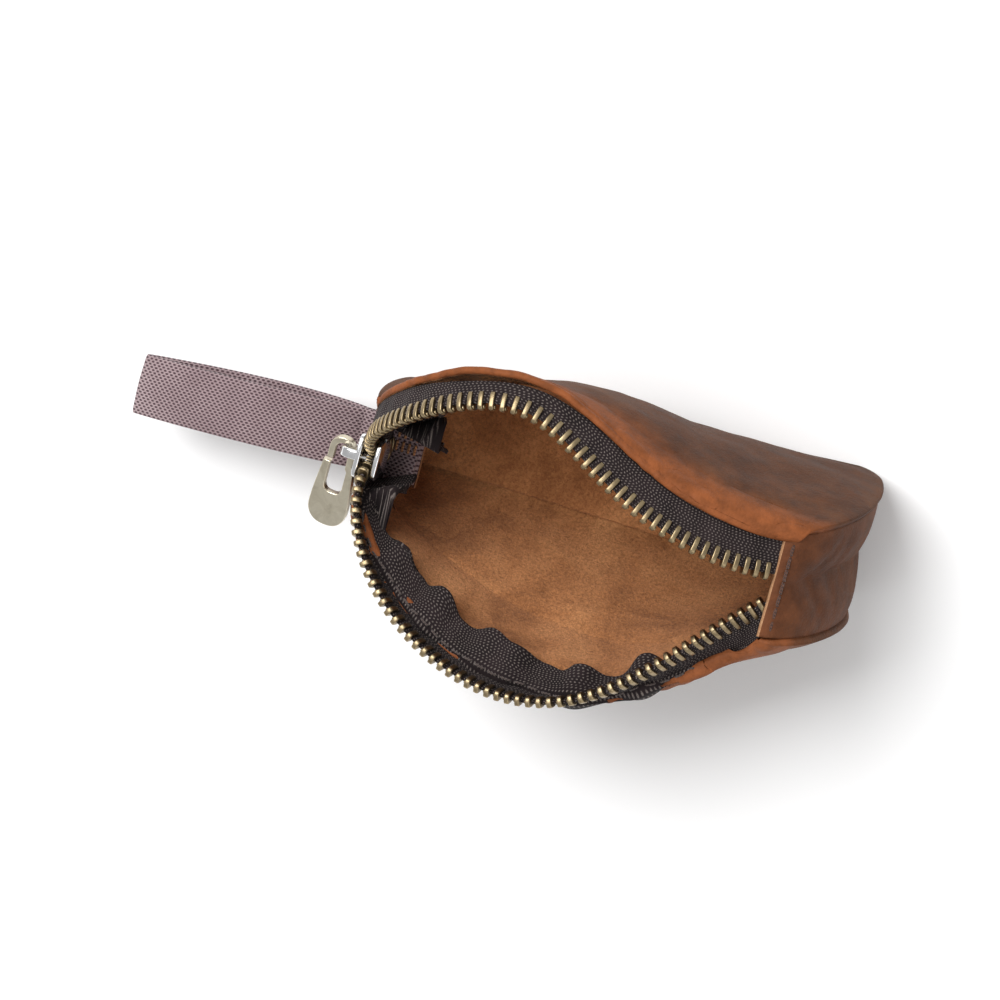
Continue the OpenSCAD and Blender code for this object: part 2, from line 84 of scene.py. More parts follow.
# ---------------------------------------------------------------- sizes, in mm, as in the CAD source
MOUTH, BACK_OPEN, FRONT_OPEN, RIM_END = 102.5, 29.0, 39.0, 56.0
BASE_FLAT, BULGE_B, BULGE_F, FOLD_IN, SWELL, LEATHER = 102.0, 6.5, 3.0, 3.0, 14.5, 1.7
PITCH, TOOTH_L, TOOTH_H, TOOTH_T, HEAD = 2.5, 4.1, 2.6, 1.15, 1.1
TAPE, SHOW, SHOW_END, DIP, HIDDEN, RUN = 0.8, 8.0, 10.0, 2.4, 7.0, 19.75
SL_L, SL_W, GAP, PLATE, POST = 9.0, 10.4, 3.3, 1.2, 1.7
CR_W, CR_T, CR_GAP = 2.0, 1.1, 3.4
PU_L, PU_W, PU_T, PU_SLOT, PU_GAP, DROOP, TURN = 21.2, 9.6, 1.8, 3.3, 1.0, 20.0, 5.0
ST_W, ST_T, ST_L, LOOP, LEAN = 14.4, 1.25, 55.0, 8.0, 3.5
ROW_END, TRAVEL = 4.1, 4.0
OFF_L, OFF_R, WIDE_L, WIDE_R = 3.5, 9.5, 17, 28
TAPE_IN, CORD_IN = 0.85, 1.05
PAST_RUN = 3
XZ = -50.5
X_END = XZ + MOUTH
TAB_Z = 17.8
RUN0 = TAB_Z + 2 * ST_T + 0.25
RUN1 = RUN0 + RUN
XB0 = XZ + 0.5
XB1 = XB0 + BASE_FLAT
SZ1 = RUN1 - 0.2
SZ0 = SZ1 - SL_L
HINGE = XZ - 7
SPLIT = POST / 2 + HEAD + 1.35
S_TURN = RUN + PAST_RUN
LEFT_K = S_TURN / (S_TURN + 1.4 * TAB_Z)


def base_y(side, t):
    return OFF_L * (1 - t) + OFF_R * t + side * (WIDE_L * (1 - t) + WIDE_R * t) / 2


def unit(v):
    return v / np.maximum(np.linalg.norm(v, axis=-1, keepdims=True), 1e-12)


def bez(c, t):
    c = np.repeat(np.asarray(c, float)[:, None, :], len(t), 1)
    while len(c) > 1:
        c = c[:-1] * (1 - t)[None, :, None] + c[1:] * t[None, :, None]
    return c[0]


def ctl(side, fx, fy, fz, w):
    rise = RIM_END - RUN1
    c = np.array([[XZ + a * MOUTH, b * w, RUN1 + c * rise] for a, b, c in zip(fx, fy, fz)])
    c[0, 1] = side * SPLIT
    return c


class Line:
    """One row of teeth: its chain line and the directions of its tape, by length s in mm."""

    def __init__(self, side, c):
        self.side = side
        z = RUN0 + RUN * np.arange(240) / 240
        y = side * SPLIT * np.maximum(0, (z - SZ0) / (RUN1 - SZ0)) ** 1.5
        self.p = np.vstack([np.stack([np.full(240, XZ), y, z], 1), bez(c, np.linspace(0, 1, 3000))])
        self.c = np.concatenate([[0], np.cumsum(np.linalg.norm(np.diff(self.p, axis=0), axis=1))])
        self.len = self.c[-1]

    def at(self, s):
        return np.stack([np.interp(s, self.c, self.p[:, k]) for k in range(3)], -1)

    def tang(self, s):
        return unit(self.at(np.minimum(s + 0.9, self.len)) - self.at(np.maximum(s - 0.9, 0)))

    def along(self, s):
        return np.clip((s - RUN) / (self.len - RUN), 0, 1)

    def lean(self, s):
        g = self.along(s)
        low = 70 if self.side > 0 else -9 + 55 * np.clip((g - .5) / .3, 0, 1)
        b = np.radians(low + (90 - low) * (1 - np.sin(np.pi * g)) ** 3)
        return np.stack([0 * b, self.side * np.sin(b), -np.cos(b)], -1)

    def dir(self, s):
        d, t = self.lean(s), self.tang(s)
        return unit(d - (d * t).sum(-1, keepdims=True) * t)

    def weave(self, s):
        d, t = self.lean(s), self.tang(s)
        k = 1 - np.clip((self.along(s) - 0.85) / 0.15, 0, 1)
        return unit(d - k[..., None] * (d * t).sum(-1, keepdims=True) * t)

    def out(self, s):
        t, d = self.tang(s), self.dir(s)
        return np.cross(t, d) if self.side > 0 else np.cross(d, t)

    def show(self, s):
        g = self.along(s)
        dip = (DIP if self.side > 0 else 0) * np.exp(-((g - .4) / .13) ** 2)
        return SHOW - dip + (SHOW_END - SHOW) * g ** 3

    def rim(self, s):
        return self.at(s) + self.show(s)[..., None] * self.weave(s) + TAPE / 2 * self.out(s)


ROWS = {
    1: Line(1, ctl(1, [0, 0, .175, .545, .29, .681, 1], [0, .341, .833, 1.551, .869, .197, .221],
                   [0, .502, 3.352, 1.491, 1.057, 2.735, 1], BACK_OPEN)),
    -1: Line(-1, ctl(-1, [0, 0, .089, .409, .636, .715, 1], [0, -.328, -1.03, -1.11, -1.384, -.649, .06],
                     [0, .474, .788, .931, 1.115, .962, 1], FRONT_OPEN)),
}
END_TOP = RIM_END + TAPE / 2 + LEATHER
LEFT = [[XZ - .4, 0, TAB_Z], [XZ - 6.5, 0, TAB_Z + .6], [XZ - 7.5, 0, TAB_Z - 6], [XZ - 8, 0, 0], [XB0, 0, 0]]
RIGHT_END = [[X_END - .8, 0, END_TOP], [X_END + .4 * SWELL, 0, END_TOP + 1],
             [X_END + 1.1 * SWELL, 0, .75 * END_TOP], [X_END + SWELL, 0, 0], [XB1, 0, 0]]


def one(f, s):
    return f(np.array([float(s)]))[0]


Y_LOW = abs(one(ROWS[1].rim, 0)[1])
Y_TOP = {s: one(ROWS[s].rim, ROWS[s].len)[1] for s in (1, -1)}


def g_left(side, v):
    p, k = bez(LEFT, v), np.clip((v - .25) / .6, 0, 1)
    p[:, 1] = side * Y_LOW * (1 - k) + base_y(side, 0) * k
    return p


def g_right(side, v):
    p, k = bez(RIGHT_END, v), np.minimum(1, v * 1.25)
    p[:, 1] = Y_TOP[side] * (1 - k) + base_y(side, 1) * k
    return p


def w_left(side, v):
    row = ROWS[side]
    u = np.clip(v / LEFT_K, 0, 1)
    a = row.rim(S_TURN * (1 - u)) - (u ** 8)[:, None] * (one(row.rim, 0) - g_left(side, v[:1] * 0)[0])
    b = g_left(side, np.clip((v - LEFT_K) / (1 - LEFT_K), 0, 1))
    return np.where((v < LEFT_K)[:, None], a, b)


def wall_at(side, t, v):
    """The panel's inner surface at matching arrays t (along the rim) and v (from rim to base)."""
    row = ROWS[side]
    t, v = np.broadcast_arrays(t, v)
    shape, t, v = t.shape, t.ravel(), v.ravel()
    T, V = t[:, None], v[:, None]
    b = np.stack([XB0 + (XB1 - XB0) * t, base_y(side, t), 0 * t], -1)
    r0, r1 = one(row.rim, S_TURN), one(row.rim, row.len)
    right = g_right(side, v) + (1 - V) ** 6 * (r1 - g_right(side, v[:1] * 0)[0])
    b0, b1 = np.array([XB0, base_y(side, 0), 0]), np.array([XB1, base_y(side, 1), 0])
    p = (1 - V) * row.rim(S_TURN + (row.len - S_TURN) * t) + V * b + (1 - T) * w_left(side, v) + T * right \
        - (1 - T) * ((1 - V) * r0 + V * b0) - T * ((1 - V) * r1 + V * b1)
    bulge = side * (BULGE_B if side > 0 else BULGE_F)
    p[:, 1] += bulge * np.sin(np.pi * t).clip(0) ** .7 * np.sin(np.pi * v).clip(0)
    return p.reshape(shape + (3,))


def grid_normals(g, side):
    a = np.gradient(g, axis=1)
    b = np.gradient(g, axis=0)
    c = np.cross(a, b) if side > 0 else np.cross(b, a)
    n = c / (np.linalg.norm(a, axis=-1, keepdims=True) * np.linalg.norm(b, axis=-1, keepdims=True) + .001)
    n = n + np.array([0, side * .12, 0])
    return unit(n)


def fbm(p, scale, octaves=3, seed=0.0):
    """Smooth noise at each point of an array of points in mm."""
    q = p.reshape(-1, 3) / scale + seed
    out = np.zeros(len(q))
    for o in range(octaves):
        f = 2.0 ** o
        out += np.array([noise.noise(Vector((x * f, y * f, z * f))) for x, y, z in q]) / f
    return out.reshape(p.shape[:-1])


# ---------------------------------------------------------------- mesh helpers
def make(name, verts, faces, mats, index=None, uvs=None, attrs=None):
    """A mesh object from points in mm in the pouch's own place."""
    me = bpy.data.meshes.new(name)
    me.from_pydata(((np.asarray(verts, float) + SHIFT) * MM).tolist(), [], [list(map(int, f)) for f in faces])
    ob = bpy.data.objects.new(name, me)
    bpy.context.scene.collection.objects.link(ob)
    for mt in mats:
        me.materials.append(mt)
    if index is not None:
        me.polygons.foreach_set("material_index", np.asarray(index, np.int32))
    me.polygons.foreach_set("use_smooth", np.full(len(me.polygons), True))
    if uvs is not None:
        lay = me.uv_layers.new(name="uv")
        li = np.zeros(len(me.loops), np.int32)
        me.loops.foreach_get("vertex_index", li)
        lay.data.foreach_set("uv", np.asarray(uvs, np.float32)[li].ravel())
    for key, val in (attrs or {}).items():
        at = me.attributes.new(key, "FLOAT", "POINT")
        at.data.foreach_set("value", np.asarray(val, np.float32).ravel())
    me.update()
    return ob


def loft(m, n):
    """Faces of m rows of n points, with the last row joined back to the first."""
    A, I = np.meshgrid(np.arange(m), np.arange(n - 1), indexing="ij")
    B = (A + 1) % m
    return np.stack([A * n + I, A * n + I + 1, B * n + I + 1, B * n + I], -1).reshape(-1, 4)


def fix_normals(ob):
    bm = bmesh.new()
    bm.from_mesh(ob.data)
    bmesh.ops.recalc_face_normals(bm, faces=bm.faces)
    bm.to_mesh(ob.data)
    bm.free()


def shell(name, inner, outer, mats, tip=4, top_mat=0, foot_mat=0, side_mat=0, uv=None, attrs=None):
    """A skin between two grids, outer material 0 and inner material 1, with a rolled first row."""
    m, n = inner.shape[:2]
    mid = (inner[0] + outer[0]) / 2
    half = (outer[0] - inner[0]) / 2
    up = unit(inner[0] - inner[1])
    r = np.linalg.norm(half, axis=-1, keepdims=True)
    roll = [mid + half * math.cos(a) + up * r * math.sin(a) for a in np.linspace(0, math.pi, tip + 2)[1:-1]]

    def stack(a, middle):
        return np.concatenate([a[0][j] for j in range(m - 1, -1, -1)] + middle + [a[1][j] for j in range(m)])
    k = 2 * m + len(roll)
    verts = stack((outer, inner), roll)
    idx = np.zeros((k, n - 1), int)
    idx[m - 1:m - 1 + len(roll) + 1] = top_mat
    idx[m + len(roll):k - 1] = 1
    idx[k - 1] = foot_mat
    cap_faces = []
    for c in ([j * n for j in range(k)], [j * n + n - 1 for j in range(k - 1, -1, -1)]):
        for q in range(m - 1):
            cap_faces.append([c[q], c[q + 1], c[k - 2 - q], c[k - 1 - q]])
    faces = loft(k, n).tolist() + cap_faces
    index = idx.ravel().tolist() + [side_mat] * len(cap_faces)
    uvs = stack((uv, uv), [uv[0]] * len(roll))
    ats = {key: stack((val, val), [val[0]] * len(roll)) for key, val in (attrs or {}).items()}
    ob = make(name, verts, faces, mats, index, uvs, ats)
    fix_normals(ob)
    return ob


def bevelled(poly, depth, width, seg=2):
    """A bevelled plate from a 2-D outline, centred on its thickness: points and faces."""
    bm = bmesh.new()
    vs = [bm.verts.new((x, y, -depth / 2)) for x, y in poly]
    face = bm.faces.new(vs)
    ext = bmesh.ops.extrude_face_region(bm, geom=[face])
    top = [g for g in ext["geom"] if isinstance(g, bmesh.types.BMVert)]
    bmesh.ops.translate(bm, vec=(0, 0, depth), verts=top)
    bmesh.ops.recalc_face_normals(bm, faces=bm.faces)
    rim = [e for e in bm.edges if abs(e.verts[0].co.z - e.verts[1].co.z) < 1e-9]
    bmesh.ops.bevel(bm, geom=rim, offset=width, segments=seg, profile=0.5, affect="EDGES", clamp_overlap=True)
    bmesh.ops.triangulate(bm, faces=[f for f in bm.faces if len(f.verts) > 4])
    v = np.array([list(q.co) for q in bm.verts])
    f = [[q.index for q in p.verts] for p in bm.faces]
    bm.free()
    return v, f


def merge(parts):
    """Joins (points, faces) pairs."""
    vs, fs, n = [], [], 0
    for v, f in parts:
        vs.append(v)
        fs += [[i + n for i in q] for q in f]
        n += len(v)
    return np.concatenate(vs), fs


def sweep(path, section, width_dir):
    """A tube along a path (n,3) with a section (k,2) in frames built from width_dir."""
    path = np.asarray(path, float)
    t = unit(np.gradient(path, axis=0))
    w = np.broadcast_to(np.asarray(width_dir, float), path.shape)
    a = unit(w - (w * t).sum(-1, keepdims=True) * t)
    b = np.cross(t, a)
    n, k = len(path), len(section)
    v = path[:, None] + section[None, :, 0, None] * a[:, None] + section[None, :, 1, None] * b[:, None]
    f = []
    for i in range(n - 1):
        for j in range(k):
            j2 = (j + 1) % k
            f.append([i * k + j, i * k + j2, (i + 1) * k + j2, (i + 1) * k + j])
    f.append(list(range(k - 1, -1, -1)))
    f.append([(n - 1) * k + j for j in range(k)])
    return v.reshape(-1, 3), f


def round_box(w, h, r, seg=4):
    """A rounded rectangle outline."""
    out = []
    for sx, sy, a0 in ((1, 1, 0), (-1, 1, 90), (-1, -1, 180), (1, -1, 270)):
        cx, cy = sx * (w / 2 - r), sy * (h / 2 - r)
        for q in range(seg + 1):
            a = math.radians(a0 + 90 * q / seg)
            out.append([cx + r * math.cos(a), cy + r * math.sin(a)])
    return np.array(out)


# ---------------------------------------------------------------- materials
class Mat:
    """A small helper for building node materials."""

    def __init__(self, name):
        self.m = bpy.data.materials.new(name)
        self.m.use_nodes = True
        self.t = self.m.node_tree
        self.b = self.t.nodes["Principled BSDF"]

    def n(self, kind, **kw):
        nd = self.t.nodes.new("ShaderNode" + kind)
        for k, v in kw.items():
            setattr(nd, k, v)
        return nd

    def link(self, a, b):
        self.t.links.new(a, b)

    def val(self, sock, v):
        if hasattr(v, "links") or hasattr(v, "is_output"):
            self.link(v, sock)
        else:
            sock.default_value = v

    def math(self, op, a, b=0.0, c=0.0, clamp=False):
        nd = self.n("Math", operation=op, use_clamp=clamp)
        for i, x in enumerate((a, b, c)):
            self.val(nd.inputs[i], x)
        return nd.outputs[0]

    def noise(self, vec, scale, detail=4.0, rough=0.5, dist=0.0):
        nd = self.n("TexNoise")
        self.link(vec, nd.inputs["Vector"])
        nd.inputs["Scale"].default_value = scale
        nd.inputs["Detail"].default_value = detail
        nd.inputs["Roughness"].default_value = rough
        nd.inputs["Distortion"].default_value = dist
        return nd.outputs["Fac"]

    def voronoi(self, vec, scale, feature="F1", rand=1.0):
        nd = self.n("TexVoronoi", feature=feature)
        self.link(vec, nd.inputs["Vector"])
        nd.inputs["Scale"].default_value = scale
        nd.inputs["Randomness"].default_value = rand
        return nd.outputs["Distance"]

    def ramp(self, fac, stops):
        nd = self.n("ValToRGB")
        e = nd.color_ramp.elements
        while len(e) < len(stops):
            e.new(0.5)
        for el, (p, c) in zip(e, stops):
            el.position = p
            el.color = (*c, 1) if len(c) == 3 else c
        self.link(fac, nd.inputs[0])
        return nd.outputs[0]

    def mix(self, fac, a, b, kind="MIX"):
        nd = self.n("Mix", data_type="RGBA", blend_type=kind)
        self.val(nd.inputs[0], fac)
        for i, x in ((6, a), (7, b)):
            if isinstance(x, tuple):
                nd.inputs[i].default_value = (*x, 1)
            else:
                self.link(x, nd.inputs[i])
        return nd.outputs[2]

    def bump(self, height, dist, strength=1.0, under=None):
        nd = self.n("Bump")
        nd.inputs["Strength"].default_value = strength
        nd.inputs["Distance"].default_value = dist
        self.link(height, nd.inputs["Height"])
        if under is not None:
            self.link(under, nd.inputs["Normal"])
        return nd.outputs[0]

    def attr(self, name):
        return self.n("Attribute", attribute_name=name).outputs["Fac"]

    def obj(self):
        return self.n("TexCoord").outputs["Object"]

    def uv(self):
        return self.n("UVMap", uv_map="uv").outputs[0]

    def set(self, **kw):
        for k, v in kw.items():
            self.b.inputs[k.replace("_", " ")].default_value = v

    def to(self, **kw):
        for k, v in kw.items():
            self.link(v, self.b.inputs[k.replace("_", " ")])


def leather(name, dark, mid, light, rim, rough=0.5):
    """Oiled leather that pales where stretched: fine pebble grain, darker pools, scuffs paler where rubbed,
    and the rim colour laid on by a mask that holds painted light on the tops plus the leather's own paler
    patches.
    """
    q = Mat(name)
    o = q.obj()
    big = q.noise(o, 38, 5, 0.62, 0.6)
    small = q.noise(o, 260, 4, 0.6)
    base = q.ramp(big, [(0.22, dark), (0.5, mid), (0.80, light)])
    # The mask paints the rim colour on as painted light along the tops of the panels and the strip, with the
    # leather's own paler patches mixed in
    pull_and_rim_light = q.attr("pull_and_rim_light")
    share = q.math("ADD", q.math("MULTIPLY", big, 0.8), 0.35, clamp=True)
    warm = q.mix(q.math("MULTIPLY", pull_and_rim_light, share, clamp=True), base, rim)
    specks = q.ramp(small, [(0.35, (0.72, 0.72, 0.72)), (0.65, (1.12, 1.1, 1.08))])
    col = q.mix(1.0, warm, specks, "MULTIPLY")
    scuff = q.noise(o, 120, 6, 0.75, 2.0)
    marks = q.ramp(scuff, [(0.6, (0, 0, 0)), (0.75, (1, 1, 1))])
    col = q.mix(q.math("MULTIPLY", marks, 0.12), col, rim)
    pebble = q.voronoi(o, 1500, "F1")
    fine = q.voronoi(o, 3400, "F1")
    h = q.math("ADD", q.math("MULTIPLY", pebble, -0.7), q.math("MULTIPLY", fine, -0.3))
    n1 = q.bump(q.noise(o, 170, 5, 0.6, 0.5), 0.0006, 0.5)
    n2 = q.bump(h, 0.00025, 0.55, n1)
    rgh = q.math("ADD", q.math("MULTIPLY", small, 0.22), rough)
    q.to(Base_Color=col, Normal=n2, Roughness=rgh)
    q.set(Specular_IOR_Level=0.10, Coat_Weight=0.02, Coat_Roughness=0.4)
    return q.m


def suede(name, dark, mid, light):
    """The flesh side: short fibres and streaks."""
    q = Mat(name)
    o = q.obj()
    a = q.noise(o, 60, 4, 0.55, 0.6)
    f = q.noise(o, 1500, 5, 0.75, 0.5)
    col = q.ramp(a, [(0.3, dark), (0.5, mid), (0.72, light)])
    grain = q.ramp(f, [(0.35, (0.62, 0.60, 0.57)), (0.62, (1.2, 1.18, 1.15))])
    col = q.mix(1.0, col, grain, "MULTIPLY")
    n1 = q.bump(a, 0.0009, 0.5)
    n2 = q.bump(f, 0.0005, 0.9, n1)
    q.to(Base_Color=col, Normal=n2)
    q.set(Roughness=0.95, Specular_IOR_Level=0.1, Sheen_Weight=0.06, Sheen_Roughness=0.5)
    return q.m


def raw_edge(name):
    q = Mat(name)
    o = q.obj()
    f = q.noise(o, 1400, 6, 0.8, 1.5)
    col = q.ramp(f, [(0.3, (0.24, 0.11, 0.05)), (0.55, (0.46, 0.25, 0.13)), (0.75, (0.62, 0.40, 0.23))])
    q.to(Base_Color=col, Normal=q.bump(f, 0.0003, 0.8))
    q.set(Roughness=0.9, Specular_IOR_Level=0.2)
    return q.m


def split_uv(q):
    s = q.n("SeparateXYZ")
    q.link(q.uv(), s.inputs[0])
    return s.outputs[0], s.outputs[1]


def dots(q, u, v, pu, pv, ru, rv, soft=0.35):
    """Staggered oval cells; 1 in the middle of a cell, 0 outside. u and v are in mm."""
    row = q.math("FLOOR", q.math("DIVIDE", v, pv))
    odd = q.math("MULTIPLY", q.math("MODULO", row, 2.0), 0.5)
    fu = q.math("SUBTRACT", q.math("FRACT", q.math("ADD", q.math("DIVIDE", u, pu), odd)), 0.5)
    fv = q.math("SUBTRACT", q.math("FRACT", q.math("DIVIDE", v, pv)), 0.5)
    a = q.math("DIVIDE", fu, ru)
    b = q.math("DIVIDE", fv, rv)
    d = q.math("SQRT", q.math("ADD", q.math("MULTIPLY", a, a), q.math("MULTIPLY", b, b)))
    nd = q.n("MapRange", interpolation_type="SMOOTHSTEP")
    q.link(d, nd.inputs[0])
    nd.inputs[1].default_value = 1 + soft
    nd.inputs[2].default_value = 1 - soft
    nd.inputs[3].default_value = 0
    nd.inputs[4].default_value = 1
    return nd.outputs[0]


def webbing(name):
    """Basket-woven nylon: pale yarn floats with dark hollows between them."""
    q = Mat(name)
    o = q.obj()
    u, v = split_uv(q)
    wob = q.noise(o, 500, 3, 0.5)
    uu = q.math("ADD", u, q.math("MULTIPLY", wob, 0.12))
    pit = dots(q, uu, v, 1.24, 0.64, 0.30, 0.34, 0.35)
    yarn = q.noise(o, 5200, 3, 0.6)
    tone = q.noise(o, 60, 3, 0.5)
    pale = q.ramp(q.math("ADD", q.math("MULTIPLY", yarn, 0.6), q.math("MULTIPLY", tone, 0.4)),
                  [(0.3, (0.19, 0.125, 0.132)), (0.5, (0.31, 0.222, 0.232)), (0.7, (0.46, 0.36, 0.37))])
    col = q.mix(q.math("MULTIPLY", pit, 0.94), pale, (0.050, 0.018, 0.026))
    h = q.math("ADD", q.math("MULTIPLY", pit, -1.0), q.math("MULTIPLY", yarn, 0.2))
    q.to(Base_Color=col, Normal=q.bump(h, 0.00035, 0.9))
    q.set(Roughness=0.68, Specular_IOR_Level=0.35, Sheen_Weight=0.2, Sheen_Roughness=0.4)
    return q.m


def zip_tape(name):
    """Herringbone-woven tape: dark ground with small paler floats."""
    q = Mat(name)
    o = q.obj()
    u, v = split_uv(q)
    zig = q.math("ABSOLUTE", q.math("SUBTRACT", q.math("FRACT", q.math("DIVIDE", v, 3.2)), 0.5))
    uu = q.math("ADD", u, q.math("MULTIPLY", zig, 1.6))
    top = dots(q, uu, v, 0.95, 0.60, 0.23, 0.26, 0.4)
    yarn = q.noise(o, 4200, 3, 0.6)
    tone = q.noise(o, 150, 4, 0.6)
    ground = q.ramp(tone, [(0.3, (0.0075, 0.0045, 0.0050)), (0.7, (0.020, 0.0125, 0.0135))])
    float_c = q.ramp(yarn, [(0.3, (0.060, 0.048, 0.044)), (0.7, (0.27, 0.225, 0.205))])
    col = q.mix(q.math("MULTIPLY", top, 0.8), ground, float_c)
    q.to(Base_Color=col, Normal=q.bump(q.math("ADD", top, q.math("MULTIPLY", yarn, 0.2)), 0.00022, 0.85))
    q.set(Roughness=0.85, Specular_IOR_Level=0.18, Sheen_Weight=0.03)
    return q.m


def thread(name, dark, light):
    q = Mat(name)
    u, v = split_uv(q)
    tw = q.math("SINE", q.math("ADD", q.math("MULTIPLY", u, 9.0), q.math("MULTIPLY", v, 6.2832)))
    f = q.math("ADD", q.math("MULTIPLY", tw, 0.5), 0.5)
    n = q.noise(q.obj(), 3000, 3, 0.6)
    mixed = q.math("ADD", q.math("MULTIPLY", f, 0.6), q.math("MULTIPLY", n, 0.4))
    col = q.ramp(mixed, [(0.2, dark), (0.8, light)])
    q.to(Base_Color=col, Normal=q.bump(f, 0.00012, 0.8))
    q.set(Roughness=0.6, Specular_IOR_Level=0.4, Sheen_Weight=0.2)
    return q.m


def metal(name, dark, mid, light, rough, scale=300, spread=0.15, bump=0.15, wear=0.0):
    q = Mat(name)
    o = q.obj()
    a = q.noise(o, scale, 5, 0.65, 0.8)
    b = q.noise(o, scale * 5, 4, 0.6)
    col = q.ramp(a, [(0.3, dark), (0.52, mid), (0.75, light)])
    if wear:
        geo = q.n("NewGeometry").outputs["Pointiness"]
        edge = q.ramp(geo, [(0.49, (0, 0, 0)), (0.56, (1, 1, 1))])
        col = q.mix(q.math("MULTIPLY", edge, wear), col, light)
    rgh = q.math("ADD", q.math("MULTIPLY", b, spread), rough)
    q.to(Base_Color=col, Roughness=rgh, Normal=q.bump(b, 0.0001, bump))
    q.set(Metallic=1.0)
    return q.m


# The fifth colour of each leather is its rim colour: a painted highlight for the tops, also used for the
# scuffs
M_BACK = leather("leather_back", (0.058, 0.0205, 0.0085), (0.088, 0.033, 0.014),
                 (0.128, 0.052, 0.022), (0.290, 0.088, 0.028))
M_FRONT = leather("leather_front", (0.066, 0.024, 0.010), (0.100, 0.038, 0.016),
                  (0.145, 0.060, 0.026), (0.290, 0.092, 0.032))
M_STRIP = leather("leather_strip", (0.060, 0.021, 0.0095), (0.086, 0.031, 0.014),
                  (0.120, 0.047, 0.021), (0.19, 0.066, 0.026), 0.5)
M_SUEDE = suede("suede", (0.25, 0.100, 0.038), (0.43, 0.185, 0.074), (0.56, 0.260, 0.110))
M_RAW = raw_edge("raw_edge")
M_TAPE = zip_tape("zip_tape")
M_WEB = webbing("webbing")
M_TEETH = metal("teeth", (0.055, 0.036, 0.018), (0.17, 0.12, 0.062),
                (0.44, 0.345, 0.205), 0.28, 420, 0.22, 0.3, 0.6)
M_SLIDER = metal("slider", (0.70, 0.70, 0.71), (0.80, 0.80, 0.81),
                 (0.90, 0.90, 0.90), 0.10, 200, 0.10, 0.08, 0.0)
M_PULLER = metal("puller", (0.50, 0.44, 0.33), (0.64, 0.58, 0.45),
                 (0.78, 0.72, 0.58), 0.26, 260, 0.16, 0.12, 0.4)
M_TACK = thread("tack_thread", (0.20, 0.075, 0.03), (0.52, 0.24, 0.10))
M_END = thread("end_thread", (0.028, 0.009, 0.005), (0.11, 0.042, 0.022))
M_SEAM = thread("seam_thread", (0.030, 0.020, 0.018), (0.12, 0.085, 0.075))

# ---------------------------------------------------------------- leather panels
def panel(side, name, mat):
    nt, nv = 420, 130
    t = np.linspace(0, 1, nt)
    v = np.linspace(0, 1, nv) ** 1.25
    g = wall_at(side, t[None, :], v[:, None])
    n = grid_normals(g, side)
    row = ROWS[side]
    steps = np.linalg.norm(np.diff(g, axis=0), axis=-1)
    depth = np.concatenate([np.zeros((1, nt)), np.cumsum(steps, axis=0)])
    s = S_TURN + (row.len - S_TURN) * t[None] + 0 * depth
    edge = np.minimum(t, 1 - t)[None] * row.len
    hold = np.clip(edge / 7, 0, 1) * np.clip((depth[-1:] - depth) / 8, 0, 1)
    # Puckers where the seam gathers the edge, and the roll of the turned edge
    puck = 0.14 * np.sin(s * 2 * np.pi / 5.3 + 1.3 * np.sin(s / 9.0))
    puck = puck * np.exp(-depth / 4.0) * (1 - np.exp(-depth / 0.8))
    roll = 0.50 * np.exp(-((depth - 2.2) / 1.8) ** 2) - 0.22 * np.exp(-((depth - 7.0) / 1.6) ** 2)
    # Broad softness, then a few long creases that run down from the rim
    soft = 1.1 * fbm(g, 34, 2, 3.7 * side) + 0.35 * fbm(g, 11, 2, 9.1)
    wave = np.zeros_like(depth)
    # Each crease: place along the rim, half width, depth and slant
    for c, w, amp, sl in ((0.30, 2.2, 0.75, 0.25), (0.37, 2.8, 0.9, 0.12), (0.45, 2.0, 0.6, -0.1),
                          (0.60, 3.2, 0.8, -0.3), (0.74, 2.4, 0.7, -0.25), (0.86, 3.0, 0.9, -0.2)):
        x = (s - c * row.len - sl * depth)
        wave -= amp * np.exp(-(x / w) ** 2) * np.exp(-depth / 16.0) * (1 - np.exp(-depth / 3.0))
    d = (puck + roll) * np.clip(edge / 3, 0, 1) + (soft + wave) * hold
    # The tape hangs against the leather's first centimetre, so the leather only swells outward there
    d = np.where(depth < 10, np.maximum(d, -0.35 * np.clip((depth - 7) / 3, 0, 1)), d)
    g2 = g + d[..., None] * n
    g2[..., 2] = np.maximum(g2[..., 2], 0.02)
    n2 = grid_normals(g2, side)
    o = g2 + LEATHER * n2
    o[..., 2] = np.maximum(o[..., 2], 0.02)
    # Painted light on the panel's top: a pale band along the rim with a wavering edge, painted as the
    # highlight of the lamp-facing top, then the leather's own paler patches where it is stretched
    pull_and_rim_light = 0.95 / (1 + np.exp((depth - 8.5 - 1.6 * fbm(g, 9, 2, 8.0)) / 1.6))
    pull_and_rim_light = pull_and_rim_light + 0.30 * np.clip(fbm(g, 16, 2, 5.0), 0, 1) * np.exp(-depth / 30)
    uv = np.stack([s, depth], -1)
    ob = shell(name, g2, o, [mat, M_SUEDE], 5, 0, 0, 0, uv, {"pull_and_rim_light": np.clip(pull_and_rim_light, 0, 1)})
    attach(ob, "pouch")
    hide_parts(name.replace("skin_", ""))


panel(1, "skin_back_panel", M_BACK)
panel(-1, "skin_front_panel", M_FRONT)


